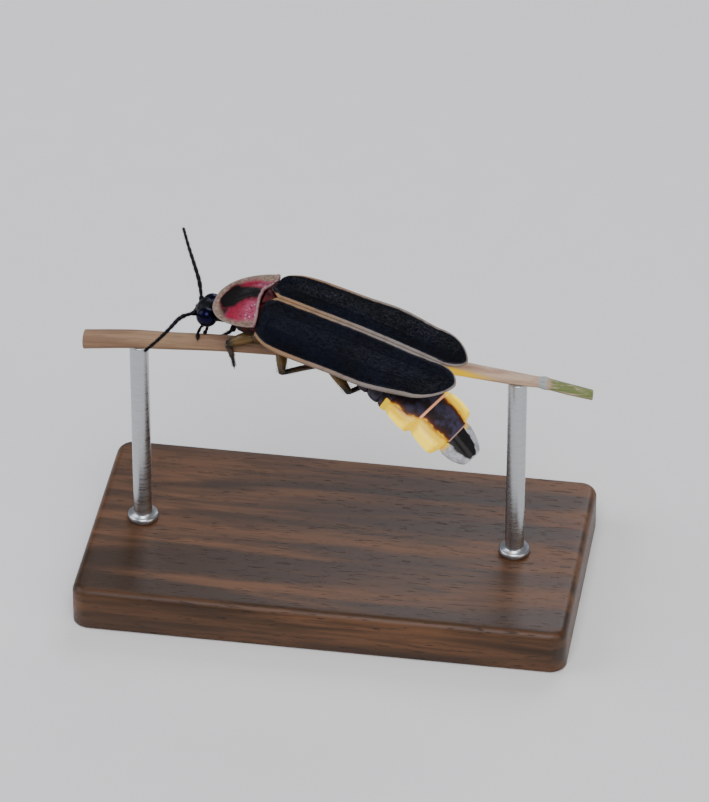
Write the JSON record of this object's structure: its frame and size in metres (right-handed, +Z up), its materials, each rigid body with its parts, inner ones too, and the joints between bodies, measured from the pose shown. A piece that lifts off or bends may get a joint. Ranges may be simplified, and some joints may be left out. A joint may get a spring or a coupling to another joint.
{
  "type": "firefly specimen model on display stand",
  "caption": "Life-size male common eastern firefly with its lantern lit, clinging to a short cut grass stem that two rods hold above a small flat display base.",
  "frame": {"origin": "centre of the stand base's underside", "axes": "+Z up; +X along the grass stem, from the firefly's head end to its tail end; -Y the side that the picture is taken from"},
  "size_m": [0.0267, 0.014, 0.0182],
  "materials": {
    "head_cuticle": "black cuticle, satin",
    "eye": "black compound eye, glossy with a blue highlight",
    "antenna": "black, finely haired",
    "pronotum": "pinkish tan shield with crimson patches and a black middle spot",
    "underside": "dark brown cuticle",
    "scutellum": "dark red brown",
    "elytron": "velvety blue black with greyish tan margins",
    "abdomen": "dark brown plates",
    "lantern": "lit, translucent yellow",
    "tergite": "dark violet brown plates",
    "abdomen_tip": "black centre with translucent grey margins",
    "leg": "brown femora, dark knees and feet",
    "dry_grass_stem": "dry straw with fine long streaks",
    "stand_wood": "dark oiled walnut",
    "stand_rod": "satin steel"
  },
  "bodies": {
    "root": {"head": "head_cuticle", "eye_left": "eye", "eye_right": "eye", "antenna_left": "antenna", "antenna_right": "antenna", "palp_left": "antenna", "palp_right": "antenna", "neck": "head_cuticle", "pronotum": "pronotum", "prothorax": "underside", "scutellum": "scutellum", "elytron_left": "elytron", "elytron_right": "elytron", "thorax": "underside", "abdomen_1": "abdomen", "abdomen_2": "abdomen", "abdomen_3": "abdomen", "abdomen_4": "abdomen", "abdomen_5": "abdomen", "lantern_6": "lantern", "lantern_7": "lantern", "tergite_6": "tergite", "tergite_7": "tergite", "abdomen_tip_8": "abdomen_tip", "leg_front_left": "leg", "leg_front_right": "leg", "leg_middle_left": "leg", "leg_middle_right": "leg", "leg_hind_left": "leg", "leg_hind_right": "leg", "perch_stem": "dry_grass_stem", "stand_base": "stand_wood", "stand_rod_left": "stand_rod", "stand_rod_right": "stand_rod"}
  },
  "joints": []
}
